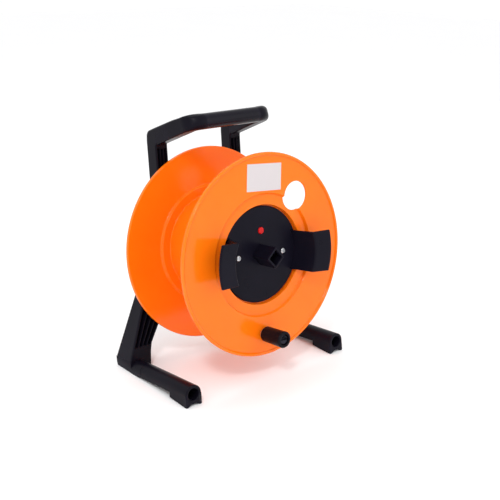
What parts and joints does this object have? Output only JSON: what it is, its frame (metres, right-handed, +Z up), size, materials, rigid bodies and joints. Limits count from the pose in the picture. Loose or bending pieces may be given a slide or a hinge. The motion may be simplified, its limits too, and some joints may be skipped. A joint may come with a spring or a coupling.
{
  "type": "extension cord reel",
  "caption": "Open plastic cable reel on a leaning A-shaped stand with a carry handle, a crank grip and winding brackets on the front flange.",
  "frame": {"origin": "on the floor, under the middle of the reel's bounding box", "axes": "+Z up; +X to the right of someone facing the front flange; +Y from the front flange towards the frame. The axle leans back 6.4 degrees from +Y."},
  "size_m": [0.277, 0.2116, 0.3441],
  "materials": {
    "drum_plastic": "glossy moulded orange",
    "frame_plastic": "satin black, fine moulding grain",
    "handle_plastic": "satin black, worn smooth by hands",
    "plate_plastic": "satin black",
    "crank_plastic": "satin black",
    "button_red": "glossy red",
    "label_white": "blank white label film",
    "bearing_nylon": "natural nylon",
    "steel": "drawn steel",
    "dark_steel": "black oxide steel",
    "zinc_plate": "zinc plated"
  },
  "bodies": {
    "frame": {"side_frame_left": "frame_plastic", "side_frame_right": "frame_plastic", "rear_bridge": "frame_plastic", "handle_grip": "handle_plastic", "handle_rod": "steel", "handle_screws": "zinc_plate", "foot_left": "frame_plastic", "foot_right": "frame_plastic", "foot_screws": "zinc_plate", "bridge_screws": "zinc_plate", "axle": "steel", "axle_nut_rear": "zinc_plate", "axle_washer_rear": "zinc_plate", "thrust_washer": "bearing_nylon", "axle_washer_front": "zinc_plate", "axle_nut_front": "zinc_plate"},
    "drum": {"drum_half_front": "drum_plastic", "drum_half_rear": "drum_plastic", "drum_screws": "zinc_plate", "bush_front": "bearing_nylon", "bush_rear": "bearing_nylon", "spacer_tube": "steel", "front_plate": "plate_plastic", "plate_screws": "steel", "bracket_left": "plate_plastic", "bracket_right": "plate_plastic", "square_socket": "plate_plastic", "label": "label_white", "cutout_housing": "plate_plastic", "crank_bolt": "dark_steel", "crank_washer": "zinc_plate", "crank_nut": "zinc_plate"},
    "button": {"reset_button": "button_red"},
    "crank": {"crank_grip": "crank_plastic"}
  },
  "joints": [
    {"name": "drum_spin", "type": "hinge", "parent": "frame", "child": "drum", "pos_m": [0, 0.00421, 0.16089], "axis": [0, -0.9938, 0.1115], "continuous": true},
    {"name": "crank_grip_spin", "type": "hinge", "parent": "drum", "child": "crank", "pos_m": [-0.00656, -0.08691, 0.06616], "axis": [0, -0.9938, 0.1115], "continuous": true},
    {"name": "reset_button_push", "type": "slide", "parent": "drum", "child": "button", "axis": [0, 0.9938, -0.1115], "range_m": [0, 0.0015], "stiffness_N_per_m": 300, "springref_m": -0.0005}
  ]
}
